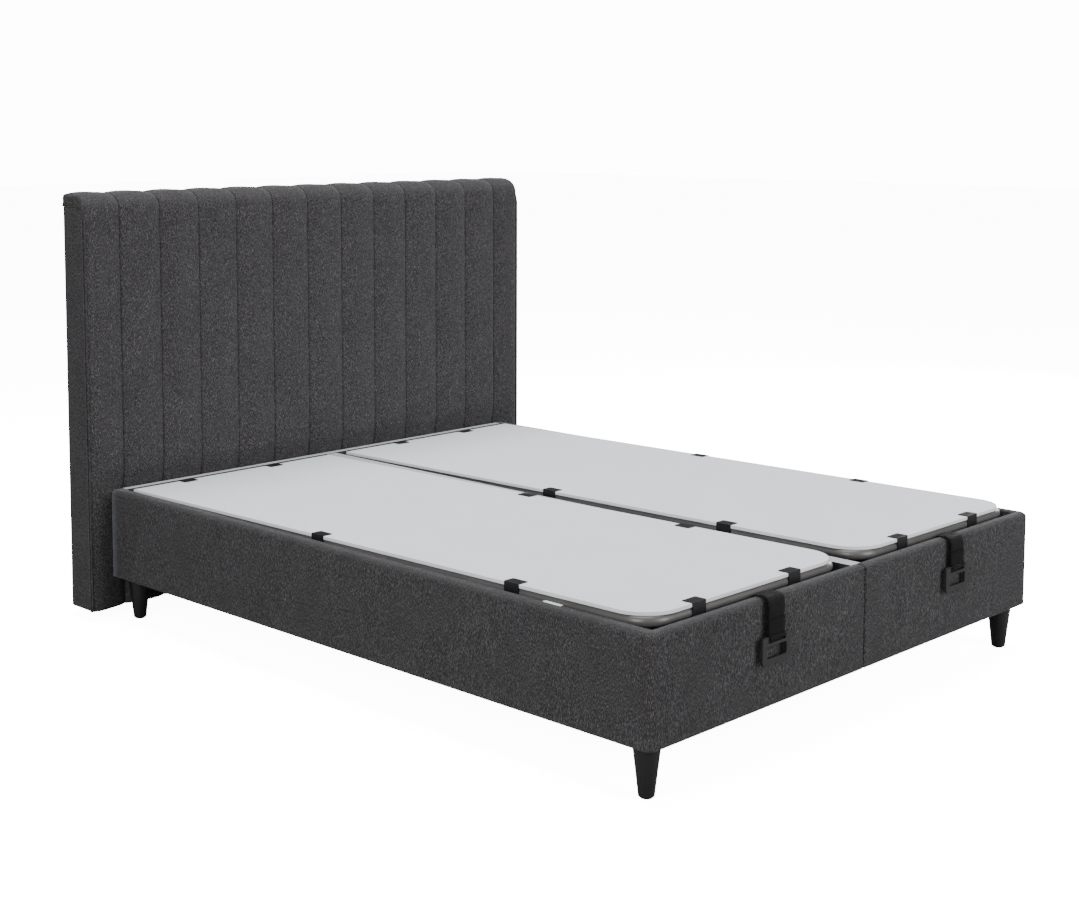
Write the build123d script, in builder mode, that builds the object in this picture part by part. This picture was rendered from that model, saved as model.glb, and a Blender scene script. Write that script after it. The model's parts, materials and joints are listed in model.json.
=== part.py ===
from build123d import *
from math import atan2, cos, radians, sin, sqrt
import os

# Upholstered storage bed base for a 160 x 200 mattress, with a channelled headboard.
# Two half bases stand side by side, each with a platform that lifts about a hinge at its head
# end on a pair of gas struts.  Millimetres; +X right seen from the foot, +Y to the headboard,
# +Z up; the origin is on the floor at the centre of the overall box.

os.makedirs("parts", exist_ok=True)

# ---- driving dimensions -------------------------------------------------------------------
base_width = 1600.0
base_length = 2000.0
base_top = 374.0
leg_height = 121.0
rail_side = 36.0            # side rail with its upholstery
rail_foot = 28.0            # foot rail with its upholstery
rail_head = 22.0            # bare head rail
pad_out = 9.0               # upholstery on the outer face of a rail
pad_top = 8.0
pad_in = 4.0
pad_under = 3.0
centre_board = 19.8         # each of the two boards along the middle
centre_gap = 0.4
wrap_edge = 12.0            # rounding of the upholstered top edges

board_width = 1743.0        # headboard
board_depth = 113.0
board_height = 1230.0
board_gap = 27.0            # headboard above the floor
front_pad = 32.0
side_pad = 12.0
side_top = 1187.0

platform_width = 722.0
platform_length = 1910.0
platform_inner = 37.0       # centre line of the bed to the platform's near edge
head_gap = 51.5             # platform's head edge to the headboard
top_at_foot = 397.1
top_at_head = 377.4
panel_thickness = 8.0
panel_radius = 90.0
tube_radius = 13.0
tube_wall = 1.5
tube_bend = 52.0
hinge_setback = 45.0        # hinge axis in from the platform's head edge

strut_arm = 250.0           # hinge to strut end, the same on the platform and on the base
strut_angle = 50.0          # between the two arms with the platform down

strap_width = 60.0
strap_thickness = 2.0
strap_stand = 12.0          # strap's middle in front of the foot face
handle_width = 108.0
handle_height = 64.0
handle_thickness = 7.0

sides = {"left": -1, "right": 1}
strap_x = {"left": -378.0, "right": 400.0}
handle_top = {"left": 290.0, "right": 304.0}
# clip centres: across the head and foot edges (X), and along the long edges (from the foot face)
clip_head = {"left": (-579.0, -263.0), "right": (262.0, 555.0)}
clip_foot = {"left": (-593.0, -240.0), "right": (221.0, 561.0)}
clip_outer = {"left": (440.0, 1124.0), "right": (504.0, 1083.0)}
clip_inner = {"left": (508.0, 1068.0), "right": (451.0, 1065.0)}

# ---- derived places -----------------------------------------------------------------------
loop_reach = 5.3 + strap_thickness
foot_y = -(base_length + board_depth + strap_stand + loop_reach) / 2 + strap_stand + loop_reach
head_y = foot_y + base_length
back_y = head_y + board_depth
half = base_width / 2
inner_x = half - rail_side
inner_foot = foot_y + rail_foot
inner_head = head_y - rail_head
middle_y = (inner_foot + inner_head) / 2

tilt = atan2(top_at_foot - top_at_head, platform_length)
hinge_y = head_y - head_gap - hinge_setback
stack = panel_thickness + tube_radius
hinge_z = top_at_head + hinge_setback * sin(tilt) - stack
platform_foot = -(platform_length - hinge_setback)
platform_plane = Plane(origin=(0, hinge_y, hinge_z), x_dir=(1, 0, 0), z_dir=(0, sin(tilt), cos(tilt)))

arm_up = radians(180) - tilt
arm_down = radians(180) - tilt + radians(strut_angle)
strut_top = (hinge_y + strut_arm * cos(arm_up), hinge_z + strut_arm * sin(arm_up))
strut_low = (hinge_y + strut_arm * cos(arm_down), hinge_z + strut_arm * sin(arm_down))
strut_dir = (strut_top[0] - strut_low[0], strut_top[1] - strut_low[1])
strut_closed = sqrt(strut_dir[0] ** 2 + strut_dir[1] ** 2)
tube_outer = platform_inner + platform_width - 2 * tube_radius
tube_inner = platform_inner + 2 * tube_radius
strut_x = {"outer": tube_outer - 12.0, "inner": tube_inner + 12.0}
joint_half = centre_board + centre_gap / 2
# inner faces that carry the hinges and struts: (X of the face, way that it looks)
faces = {("left", "outer"): (-inner_x, 1), ("left", "inner"): (-joint_half, -1),
         ("right", "inner"): (joint_half, 1), ("right", "outer"): (inner_x, -1)}


def tube_bottom(along):
    """Height of a platform tube's underside, at a distance from the foot face."""
    return hinge_z + (hinge_y - foot_y - along) * sin(tilt) - tube_radius


def finish(builder, name):
    """Label a finished piece and write it."""
    builder.part.label = name
    export_step(builder.part, f"parts/{name}.step")


def solid_box(x, y, z, mode=Mode.ADD):
    """A box between two corners, given as a pair along each axis."""
    with Locations(((x[0] + x[1]) / 2, (y[0] + y[1]) / 2, (z[0] + z[1]) / 2)):
        Box(abs(x[1] - x[0]), abs(y[1] - y[0]), abs(z[1] - z[0]), mode=mode)


def rod_along_x(x, y, z, radius, mode=Mode.ADD):
    """A round bar along X from x[0] to x[1]."""
    with Locations(Location(((x[0] + x[1]) / 2, y, z), (0, 90, 0))):
        Cylinder(radius, abs(x[1] - x[0]), mode=mode)


def rod_along_y(x, y, z, radius, mode=Mode.ADD):
    """A round bar along Y from y[0] to y[1]."""
    with Locations(Location((x, (y[0] + y[1]) / 2, z), (90, 0, 0))):
        Cylinder(radius, abs(y[1] - y[0]), mode=mode)


def rod_along_z(x, y, z, radius, mode=Mode.ADD):
    """A round bar along Z from z[0] to z[1]."""
    with Locations((x, y, (z[0] + z[1]) / 2)):
        Cylinder(radius, abs(z[1] - z[0]), mode=mode)


# ---- fasteners, made first because other pieces are drilled for them --------------------------
plate = 3.0
screw_radius = 2.0
screw_head = 4.0
screw_head_depth = 1.8
screw_grip = 15.0
hinge_screws = [(-22, -34), (22, -34), (-22, -58), (22, -58)]
strut_screws = [(-24, 0), (24, 0), (0, 22)]

with BuildPart() as bracket_screws:
    for wall, way in faces.values():
        places = [(hinge_y + a, hinge_z + b) for a, b in hinge_screws]
        places += [(strut_low[0] + a, strut_low[1] + b) for a, b in strut_screws]
        for y, z in places:
            rod_along_x((wall - way * screw_grip, wall + way * plate), y, z, screw_radius)
            rod_along_x((wall + way * (plate - screw_head_depth), wall + way * plate), y, z, screw_head)
finish(bracket_screws, "bracket_screws")

bolt_radius = 4.0
washer = 2.0
hex_radius = 7.5
hex_depth = 5.3
joining_z = 250.0
joining_washer = 10.0
joining_y = (inner_foot + 120, middle_y - 330, middle_y + 330, inner_head - 330)
with BuildPart() as joining_bolts:
    for y in joining_y:
        rod_along_x((-joint_half - washer, joint_half + washer + hex_depth), y, joining_z, bolt_radius)
        for way in (-1, 1):
            rod_along_x((way * joint_half, way * (joint_half + washer)), y, joining_z, joining_washer)
            with BuildSketch(Plane.YZ.offset(way * (joint_half + washer))):
                with Locations((y, joining_z)):
                    RegularPolygon(hex_radius, 6)
            extrude(amount=way * hex_depth)
finish(joining_bolts, "joining_bolts")

headboard_washer = 12.0
bolt_grip = 34.0            # headboard bolt past the front padding
with BuildPart() as headboard_bolts:
    for x in (-560.0, -240.0, 240.0, 560.0):
        for z in (210.0, 310.0):
            rod_along_y(x, (inner_head - washer, head_y + front_pad + bolt_grip), z, bolt_radius)
            rod_along_y(x, (inner_head - washer, inner_head), z, headboard_washer)
            with BuildSketch(Plane.XZ.offset(washer - inner_head)):
                with Locations((x, z)):
                    RegularPolygon(hex_radius, 6)
            extrude(amount=hex_depth)
finish(headboard_bolts, "headboard_bolts")

leg_inset = 53.0
leg_spots = [(sx * (half - leg_inset), y) for y in (foot_y + leg_inset, head_y - leg_inset) for sx in (-1, 1)]
leg_spots.append((0.0, middle_y))
leg_plate = 3.0
leg_bolt = (58.0, leg_height + 15.0)
glide = 3.0
glide_radius = 13.0
with BuildPart() as leg_bolts:
    for x, y in leg_spots:
        rod_along_z(x, y, leg_bolt, bolt_radius)
finish(leg_bolts, "leg_bolts")

# ---- rails and their upholstery ---------------------------------------------------------------
core_top = base_top - pad_top
core_low = leg_height + pad_under

for side, s in sides.items():
    with BuildPart() as side_rail:
        core_x = (s * (half - pad_out), s * (inner_x + pad_in))
        solid_box(core_x, (foot_y + pad_out, head_y), (core_low, core_top))
        add(bracket_screws.part, mode=Mode.SUBTRACT)
    finish(side_rail, f"side_rail_{side}")

    with BuildPart() as side_cover:
        solid_box((s * half, s * inner_x), (foot_y, head_y), (leg_height, base_top))
        outermost = 0 if s < 0 else -1
        outer_edge = side_cover.edges().filter_by(Axis.Y).group_by(Axis.Z)[-1].sort_by(Axis.X)[outermost]
        corner_edge = side_cover.edges().filter_by(Axis.Z).group_by(Axis.Y)[0].sort_by(Axis.X)[outermost]
        fillet([outer_edge, corner_edge], radius=wrap_edge)
        add(side_rail.part, mode=Mode.SUBTRACT)
        add(bracket_screws.part, mode=Mode.SUBTRACT)
    finish(side_cover, f"side_cover_{side}")

    with BuildPart() as foot_rail:
        core_y = (foot_y + pad_out, inner_foot - pad_in)
        solid_box((s * inner_x, s * centre_gap), core_y, (core_low, core_top))
    finish(foot_rail, f"foot_rail_{side}")

    with BuildPart() as foot_cover:
        solid_box((s * inner_x, s * centre_gap), (foot_y, inner_foot), (leg_height, base_top))
        fillet(foot_cover.edges().filter_by(Axis.X).group_by(Axis.Z)[-1].sort_by(Axis.Y)[0], radius=wrap_edge)
        add(foot_rail.part, mode=Mode.SUBTRACT)
    finish(foot_cover, f"foot_cover_{side}")

    with BuildPart() as head_rail:
        solid_box((s * inner_x, s * centre_gap / 2), (inner_head, head_y), (leg_height, base_top))
        add(headboard_bolts.part, mode=Mode.SUBTRACT)
    finish(head_rail, f"head_rail_{side}")

    with BuildPart() as centre_wall:
        solid_box((s * centre_gap / 2, s * joint_half), (inner_foot, inner_head), (leg_height, base_top - 2))
        for group in (bracket_screws, joining_bolts, leg_bolts):
            add(group.part, mode=Mode.SUBTRACT)
    finish(centre_wall, f"centre_board_{side}")

# ---- storage floor, battens and corner joints -----------------------------------------------
batten = 18.0
block = 100.0
floor_low = leg_height + batten
floor_high = floor_low + 5.0
fitting_gap = 0.5           # between wooden members that meet end on
cross_pitch = 480.0
cross_half = 20.0

with BuildPart() as floor_battens:
    for s in sides.values():
        lengthwise = (inner_foot + block, inner_head - block)
        under_floor = (leg_height, floor_low)
        solid_box((s * (inner_x - batten), s * inner_x), lengthwise, under_floor)
        solid_box((s * joint_half, s * (joint_half + batten)), lengthwise, under_floor)
        crosswise = (s * (joint_half + batten + fitting_gap), s * (inner_x - batten - fitting_gap))
        for y in (middle_y - cross_pitch, middle_y, middle_y + cross_pitch):
            solid_box(crosswise, (y - cross_half, y + cross_half), under_floor)
        for y in (inner_foot, inner_head - batten):
            solid_box((s * joint_half, s * (inner_x - block)), (y, y + batten), under_floor)
finish(floor_battens, "floor_battens")

with BuildPart() as corner_blocks:
    for s in sides.values():
        for y in (inner_foot, inner_head - block):
            solid_box((s * inner_x, s * (inner_x - block)), (y, y + block), (leg_height, floor_low))
    add(leg_bolts.part, mode=Mode.SUBTRACT)
finish(corner_blocks, "corner_blocks")

for side, s in sides.items():
    with BuildPart() as storage_floor:
        solid_box((s * joint_half, s * inner_x), (inner_foot, inner_head), (floor_low, floor_high))
    finish(storage_floor, f"storage_floor_{side}")

angle_leaf = 34.0
angle_sheet = 2.5
angle_heights = (165.0, 265.0)
with BuildPart() as corner_brackets:
    for wall, way in faces.values():
        for y, inward in ((inner_foot, 1), (inner_head, -1)):
            solid_box((wall, wall + way * angle_sheet), (y, y + inward * angle_leaf), angle_heights)
            solid_box((wall, wall + way * angle_leaf), (y, y + inward * angle_sheet), angle_heights)
finish(corner_brackets, "corner_brackets")

# ---- legs -----------------------------------------------------------------------------------
leg_top_radius = 31.5
leg_foot_radius = 18.0
leg_top = leg_height - leg_plate
with BuildPart() as legs:
    with Locations([(x, y, (leg_top + glide) / 2) for x, y in leg_spots]):
        Cone(leg_foot_radius, leg_top_radius, leg_top - glide)
    fillet(legs.edges().filter_by(GeomType.CIRCLE).group_by(Axis.Z)[0], radius=3)
    fillet(legs.edges().filter_by(GeomType.CIRCLE).group_by(Axis.Z)[-1], radius=1.5)
    add(leg_bolts.part, mode=Mode.SUBTRACT)
finish(legs, "legs")

with BuildPart() as leg_plates:
    with Locations([(x, y, leg_height - leg_plate / 2) for x, y in leg_spots]):
        Cylinder(leg_top_radius - 3, leg_plate)
    add(leg_bolts.part, mode=Mode.SUBTRACT)
finish(leg_plates, "leg_plates")

with BuildPart() as leg_glides:
    with Locations([(x, y, glide / 2) for x, y in leg_spots]):
        Cylinder(glide_radius, glide)
finish(leg_glides, "leg_glides")

# ---- hinges at the head end --------------------------------------------------------------------
pin_radius = 6.0
running = 0.08
bush_radius = 8.0
flange_radius = 11.0
flange = 1.5

with BuildPart() as hinge_plates:
    for wall, way in faces.values():
        solid_box((wall, wall + way * plate), (hinge_y - 35, hinge_y + 35), (hinge_z - 70, hinge_z + 12))
    fillet(hinge_plates.edges().filter_by(Axis.X), radius=8)
    rod_along_x((-inner_x, inner_x), hinge_y, hinge_z, pin_radius, Mode.SUBTRACT)
    add(bracket_screws.part, mode=Mode.SUBTRACT)
finish(hinge_plates, "hinge_plates")

with BuildPart() as hinge_pins:
    for s in sides.values():
        rod_along_x((s * inner_x, s * (tube_outer - 4)), hinge_y, hinge_z, pin_radius)
        rod_along_x((s * joint_half, s * (tube_inner + 4)), hinge_y, hinge_z, pin_radius)
        shoulder = (s * (joint_half + plate), s * (platform_inner - flange - 0.5))
        rod_along_x(shoulder, hinge_y, hinge_z, flange_radius)
finish(hinge_pins, "hinge_pins")

with BuildPart() as pin_clips:
    for s in sides.values():
        for x in (tube_outer - 1.4, tube_inner + 1.4):
            rod_along_x((s * (x - 0.6), s * (x + 0.6)), hinge_y, hinge_z, 8.5)
    rod_along_x((-half, half), hinge_y, hinge_z, pin_radius, Mode.SUBTRACT)
finish(pin_clips, "pin_clips")

# ---- strut anchors on the base ------------------------------------------------------------------
stud_radius = 4.0
stud_shoulder = 6.0
eye_half = 4.0
with BuildPart() as strut_brackets:
    for (side, place), (wall, way) in faces.items():
        x = strut_x[place] * sides[side]
        y, z = strut_low
        solid_box((wall, wall + way * plate), (y - 32, y + 32), (z - 11, z + 30))
        rod_along_x((wall + way * plate, x - way * (eye_half + 0.5)), y, z, stud_shoulder)
        rod_along_x((wall + way * plate, x + way * (eye_half + 1.5)), y, z, stud_radius)
    add(bracket_screws.part, mode=Mode.SUBTRACT)
finish(strut_brackets, "strut_brackets")

# ---- rests under the platforms' long tubes ------------------------------------------------------
rest_along = 306.0
rest_length = 54.0
rest_z = tube_bottom(rest_along) - 0.3
with BuildPart() as rest_pads:
    for (side, place), (wall, way) in faces.items():
        lip = base_top if place == "outer" else base_top - 2
        span = (foot_y + rest_along - rest_length / 2, foot_y + rest_along + rest_length / 2)
        reach = abs(wall - sides[side] * (tube_outer if place == "outer" else tube_inner)) - 3
        solid_box((wall, wall + way * 2), span, (rest_z - 34, lip + 1.2))
        solid_box((wall, wall + way * reach), span, (rest_z - 4, rest_z))
        solid_box((wall + way * 2, wall - way * 8), span, (lip, lip + 1.2))
finish(rest_pads, "rest_pads")

# ---- headboard ------------------------------------------------------------------------------------
board_half = board_width / 2
core_half = board_half - side_pad
roll_radius = 55.0
back_radius = 15.0
side_radius = 45.0
side_front = head_y + 2.0
board_front = head_y + 0.3


def side_outline(x):
    """Outline of a side panel across X, with its top front corner rounded."""
    with BuildSketch(Plane.YZ.offset(x)) as outline:
        with Locations(((side_front + back_y) / 2, (board_gap + side_top) / 2)):
            Rectangle(back_y - side_front, side_top - board_gap)
        fillet(outline.vertices().group_by(Axis.Y)[-1].sort_by(Axis.X)[0], radius=side_radius)
    return outline.sketch


for side, s in sides.items():
    with BuildPart() as headboard_side:
        extrude(side_outline(s * core_half), amount=s * side_pad)
    finish(headboard_side, f"headboard_side_{side}")

with BuildPart() as headboard_cushion:
    with BuildSketch(Plane.YZ.offset(-board_half)) as section:
        with BuildLine():
            Polyline((board_front, board_gap), (board_front, board_height), (back_y, board_height),
                     (back_y, side_top), (head_y + front_pad, side_top), (head_y + front_pad, board_gap),
                     close=True)
        make_face()
        fillet(section.vertices().group_by(Axis.Y)[-1].sort_by(Axis.X)[0], radius=roll_radius)
        fillet(section.vertices().group_by(Axis.Y)[-1].sort_by(Axis.X)[-1], radius=back_radius)
    extrude(amount=board_width)
    for s in sides.values():
        extrude(side_outline(s * core_half), amount=s * side_pad, mode=Mode.SUBTRACT)
    add(headboard_bolts.part, mode=Mode.SUBTRACT)
finish(headboard_cushion, "headboard_cushion")

core_foot = board_gap + 3
sheet = 16.0
back_sheet = 5.0
with BuildPart() as headboard_board:
    board_y = (head_y + front_pad, head_y + front_pad + sheet)
    solid_box((-core_half, core_half), board_y, (core_foot, side_top))
    add(headboard_bolts.part, mode=Mode.SUBTRACT)
finish(headboard_board, "headboard_board")

with BuildPart() as headboard_back:
    solid_box((-core_half, core_half), (back_y - back_sheet, back_y), (core_foot, side_top))
finish(headboard_back, "headboard_back")

post = 40.0
cross_members = ((core_foot, core_foot + post), (190.0, 330.0), (700.0, 740.0), (side_top - post, side_top))
frame_depth = (head_y + front_pad + sheet, back_y - back_sheet)
with BuildPart() as headboard_frame:
    for x in (-core_half, -post / 2, core_half - post):
        solid_box((x, x + post), frame_depth, (core_foot, side_top))
    for s in sides.values():
        bay = (s * (post / 2 + fitting_gap), s * (core_half - post - fitting_gap))
        for heights in cross_members:
            solid_box(bay, frame_depth, heights)
    add(headboard_bolts.part, mode=Mode.SUBTRACT)
finish(headboard_frame, "headboard_frame")

# ---- lifting platforms ------------------------------------------------------------------------------
bar_width = 30.0
bar_depth = 15.0
bar_wall = 1.2
foot_tube = platform_foot + tube_radius
head_tube = hinge_setback - tube_radius
bar_gap = (head_tube - foot_tube) / 5
clip_half = 22.5
clip_sheet = 2.2
clip_gap = 0.2
clip_tab = 28.0
clip_hook = 12.0
clip_bend = 2.0


def on_platform(x, y, height=0.0):
    """World place of a point given on the platform's plane."""
    return platform_plane.from_local_coords(Vector(x, y, height))


def clip_at(x, y, outward):
    """A folded clip over the platform's edge, gripping panel and tube."""
    section_plane = Plane(origin=on_platform(x, y), x_dir=outward, z_dir=outward.cross(platform_plane.z_dir))
    top = stack + clip_sheet
    low = -tube_radius - clip_sheet
    with BuildSketch(section_plane) as section:
        with BuildLine():
            Polyline((-clip_tab, stack), (-clip_tab, top), (clip_gap + clip_sheet, top),
                     (clip_gap + clip_sheet, low), (-clip_hook, low), (-clip_hook, -tube_radius),
                     (clip_gap, -tube_radius), (clip_gap, stack), close=True)
        make_face()
        outer = section.vertices().group_by(Axis.X)[-1]
        fillet(outer, radius=clip_bend)
    extrude(section.sketch, amount=clip_half, both=True)


for side, s in sides.items():
    near = s * platform_inner
    far = s * (platform_inner + platform_width)
    centre = (near + far) / 2
    tube_offset = platform_width / 2 - tube_radius
    side_tubes = (centre - tube_offset, centre + tube_offset)

    with BuildPart() as platform_frame:
        with BuildLine(platform_plane) as route:
            FilletPolyline((side_tubes[0], hinge_setback), (side_tubes[0], foot_tube),
                           (side_tubes[1], foot_tube), (side_tubes[1], hinge_setback), radius=tube_bend)
        bent = route.wires()[0]
        start = Plane(origin=bent @ 0, z_dir=bent % 0)
        with BuildSketch(start):
            Circle(tube_radius)
        sweep(path=bent)
        head_bar = on_platform(0, head_tube)
        rod_along_x(side_tubes, head_bar.Y, head_bar.Z, tube_radius - 0.5)
        with BuildSketch(start):
            Circle(tube_radius - tube_wall)
        sweep(path=bent, mode=Mode.SUBTRACT)
        bar_bore = (side_tubes[0] + tube_radius + 1, side_tubes[1] - tube_radius - 1)
        rod_along_x(bar_bore, head_bar.Y, head_bar.Z, tube_radius - 0.5 - tube_wall, Mode.SUBTRACT)
        end_plane = Plane(origin=on_platform(0, hinge_setback), x_dir=(1, 0, 0), z_dir=-platform_plane.y_dir)
        with BuildSketch(end_plane):
            with Locations((side_tubes[0], 0), (side_tubes[1], 0)):
                Circle(tube_radius)
        extrude(amount=tube_wall)
        rod_along_x((near, far), hinge_y, hinge_z, bush_radius, Mode.SUBTRACT)
    finish(platform_frame, f"platform_frame_{side}")

    with BuildPart() as platform_crossbars:
        for k in range(1, 5):
            y = foot_tube + k * bar_gap
            ends = Plane(origin=on_platform(side_tubes[0], y, tube_radius - bar_depth / 2),
                         x_dir=platform_plane.y_dir, z_dir=(1, 0, 0))
            with BuildSketch(ends):
                Rectangle(bar_width, bar_depth)
                Rectangle(bar_width - 2 * bar_wall, bar_depth - 2 * bar_wall, mode=Mode.SUBTRACT)
            extrude(amount=2 * tube_offset)
        with BuildSketch(end_plane):
            with Locations((side_tubes[0], 0), (side_tubes[1], 0)):
                Circle(tube_radius)
        extrude(amount=platform_length, mode=Mode.SUBTRACT)
    finish(platform_crossbars, f"platform_crossbars_{side}")

    with BuildPart() as platform_panel:
        with BuildSketch(platform_plane.offset(tube_radius)) as sheet_outline:
            with Locations((centre, (platform_foot + hinge_setback) / 2)):
                Rectangle(platform_width, platform_length)
            fillet(sheet_outline.vertices().group_by(Axis.Y)[0], radius=panel_radius)
        extrude(amount=panel_thickness)
    finish(platform_panel, f"platform_panel_{side}")

    with BuildPart() as panel_clips:
        for x in clip_head[side]:
            clip_at(x, hinge_setback, platform_plane.y_dir)
        for x in clip_foot[side]:
            clip_at(x, platform_foot, -platform_plane.y_dir)
        for along in clip_outer[side]:
            clip_at(far, foot_y + along - hinge_y, platform_plane.x_dir * s)
        for along in clip_inner[side]:
            clip_at(near, foot_y + along - hinge_y, platform_plane.x_dir * -s)
    finish(panel_clips, f"panel_clips_{side}")

    with BuildPart() as hinge_bushes:
        for low, high in ((near, s * tube_inner), (far, s * tube_outer)):
            outward = 1 if low > high else -1
            rod_along_x((low, high), hinge_y, hinge_z, bush_radius)
            rod_along_x((low, low + outward * flange), hinge_y, hinge_z, flange_radius)
        rod_along_x((s * joint_half, s * inner_x), hinge_y, hinge_z, pin_radius + running, Mode.SUBTRACT)
    finish(hinge_bushes, f"hinge_bushes_{side}")

    with BuildPart() as strut_studs:
        for x, wall in ((strut_x["outer"], tube_outer), (strut_x["inner"], tube_inner)):
            way = 1 if wall > x else -1
            rod_along_x((s * (wall + way * 3), s * (x + way * (eye_half + 0.5))), *strut_top, stud_shoulder)
            rod_along_x((s * (wall + way * 3), s * (x - way * (eye_half + 1.5))), *strut_top, stud_radius)
        with BuildSketch(end_plane):
            with Locations((side_tubes[0], 0), (side_tubes[1], 0)):
                Circle(tube_radius)
        extrude(amount=platform_length, mode=Mode.SUBTRACT)
    finish(strut_studs, f"strut_studs_{side}")

# ---- gas struts ---------------------------------------------------------------------------------------
cylinder_radius = 9.0
cylinder_wall = 1.5
rod_radius = 4.0
eye_radius = 8.5
neck_end = 14.0
neck_radius = 3.8
cylinder_end = 18.0         # cylinder's open end to the lower eye, with the strut closed
gland = 10.0
piston = 6.0
piston_at = strut_closed - 27.0

for side, s in sides.items():
    with BuildPart() as strut_cylinders:
        for place in ("outer", "inner"):
            x = s * strut_x[place]
            axis = Plane(origin=(x, *strut_top), x_dir=(1, 0, 0), z_dir=(0, -strut_dir[0], -strut_dir[1]))
            length = strut_closed - cylinder_end
            rod_along_x((x - eye_half, x + eye_half), *strut_top, eye_radius)
            with Locations(axis.offset(neck_end / 2 + 1).location):
                Cylinder(neck_radius, neck_end)
            with Locations(axis.offset((neck_end + length) / 2).location):
                Cylinder(cylinder_radius, length - neck_end)
            with Locations(axis.offset((neck_end + 4 + length - gland) / 2).location):
                Cylinder(cylinder_radius - cylinder_wall, length - gland - neck_end - 4, mode=Mode.SUBTRACT)
            with Locations(axis.offset(length - gland / 2).location):
                Cylinder(rod_radius + running, gland + 2, mode=Mode.SUBTRACT)
            rod_along_x((x - eye_half, x + eye_half), *strut_top, stud_radius + running, Mode.SUBTRACT)
    finish(strut_cylinders, f"strut_cylinders_{side}")

    with BuildPart() as strut_rods:
        for place in ("outer", "inner"):
            x = s * strut_x[place]
            axis = Plane(origin=(x, *strut_low), x_dir=(1, 0, 0), z_dir=(0, *strut_dir))
            rod_along_x((x - eye_half, x + eye_half), *strut_low, eye_radius)
            with Locations(axis.offset(piston_at / 2).location):
                Cylinder(rod_radius, piston_at)
            with Locations(axis.offset(piston_at + piston / 2).location):
                Cylinder(cylinder_radius - cylinder_wall - 0.3, piston)
            rod_along_x((x - eye_half, x + eye_half), *strut_low, stud_radius + running, Mode.SUBTRACT)
    finish(strut_rods, f"strut_rods_{side}")

# ---- pull straps and handles ------------------------------------------------------------------------------
grip_radius = tube_radius + 0.3 + strap_thickness / 2
tube_centre = on_platform(0, foot_tube)
over_rail = base_top + 0.8 + strap_thickness / 2
strap_bend = 22.0
strap_y = foot_y - strap_stand
strap_hinge_z = over_rail - strap_bend - 0.5
loop_radius = 5.3
bar_height = 7.0
slot_height = 8.0
window_width = 72.0
window_height = 27.0
window_sill = 14.5

for side, x in strap_x.items():
    bar_z = handle_top[side] - bar_height / 2

    with BuildPart() as pull_strap:
        with BuildLine(Plane.YZ.offset(x)) as strap_route:
            wrap = CenterArc((tube_centre.Y, tube_centre.Z), grip_radius, -30, -105)
            leave = (tube_centre.Y - grip_radius * sqrt(0.5), tube_centre.Z - grip_radius * sqrt(0.5))
            FilletPolyline(leave, (leave[0] - over_rail + leave[1], over_rail), (strap_y, over_rail),
                           (strap_y, strap_hinge_z), radius=(6, strap_bend))
        band = strap_route.wires()[0]
        with BuildSketch(Plane(origin=band @ 0, x_dir=(1, 0, 0), z_dir=band % 0)):
            Rectangle(strap_width, strap_thickness)
        sweep(path=band)
    finish(pull_strap, f"pull_strap_{side}")

    with BuildPart() as strap_drop:
        with BuildSketch(Plane.YZ.offset(x - strap_width / 2)):
            with Locations((strap_y, bar_z)):
                Circle(loop_radius + strap_thickness)
            drop_top = strap_hinge_z - 1
            with Locations((strap_y, (bar_z + loop_radius + drop_top) / 2)):
                Rectangle(strap_thickness, drop_top - bar_z - loop_radius)
            with Locations((strap_y, bar_z)):
                Circle(loop_radius, mode=Mode.SUBTRACT)
        extrude(amount=strap_width)
    finish(strap_drop, f"strap_drop_{side}")

    with BuildPart() as strap_handle:
        with BuildSketch(Plane.XZ.offset(-strap_y)):
            with Locations((x, handle_top[side] - handle_height / 2)):
                RectangleRounded(handle_width, handle_height, 9)
            with Locations((x, handle_top[side] - bar_height - slot_height / 2)):
                RectangleRounded(strap_width + 6, slot_height, 2, mode=Mode.SUBTRACT)
            with Locations((x, handle_top[side] - handle_height + window_sill + window_height / 2)):
                RectangleRounded(window_width, window_height, 4, mode=Mode.SUBTRACT)
        extrude(amount=handle_thickness / 2, both=True)
        front_and_back = strap_handle.faces().filter_by(Axis.Y).edges()
        fillet(front_and_back, radius=1.2)
    finish(strap_handle, f"strap_handle_{side}")
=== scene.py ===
import json
import math

import bmesh
import bpy
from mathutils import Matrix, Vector, noise


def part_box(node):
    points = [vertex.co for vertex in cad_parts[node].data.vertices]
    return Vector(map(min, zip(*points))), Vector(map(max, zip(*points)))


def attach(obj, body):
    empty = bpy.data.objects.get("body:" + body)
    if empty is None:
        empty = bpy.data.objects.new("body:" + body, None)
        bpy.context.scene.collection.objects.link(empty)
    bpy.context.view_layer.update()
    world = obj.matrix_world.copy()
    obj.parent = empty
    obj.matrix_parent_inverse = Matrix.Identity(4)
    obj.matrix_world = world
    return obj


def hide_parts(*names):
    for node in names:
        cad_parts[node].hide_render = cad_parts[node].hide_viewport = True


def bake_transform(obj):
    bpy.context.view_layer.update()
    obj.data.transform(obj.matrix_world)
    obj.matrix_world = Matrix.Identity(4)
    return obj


# Looks of an upholstered storage bed base with a channelled headboard.  Metres; +X right seen
# from the foot, +Y to the headboard, +Z up.

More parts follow.
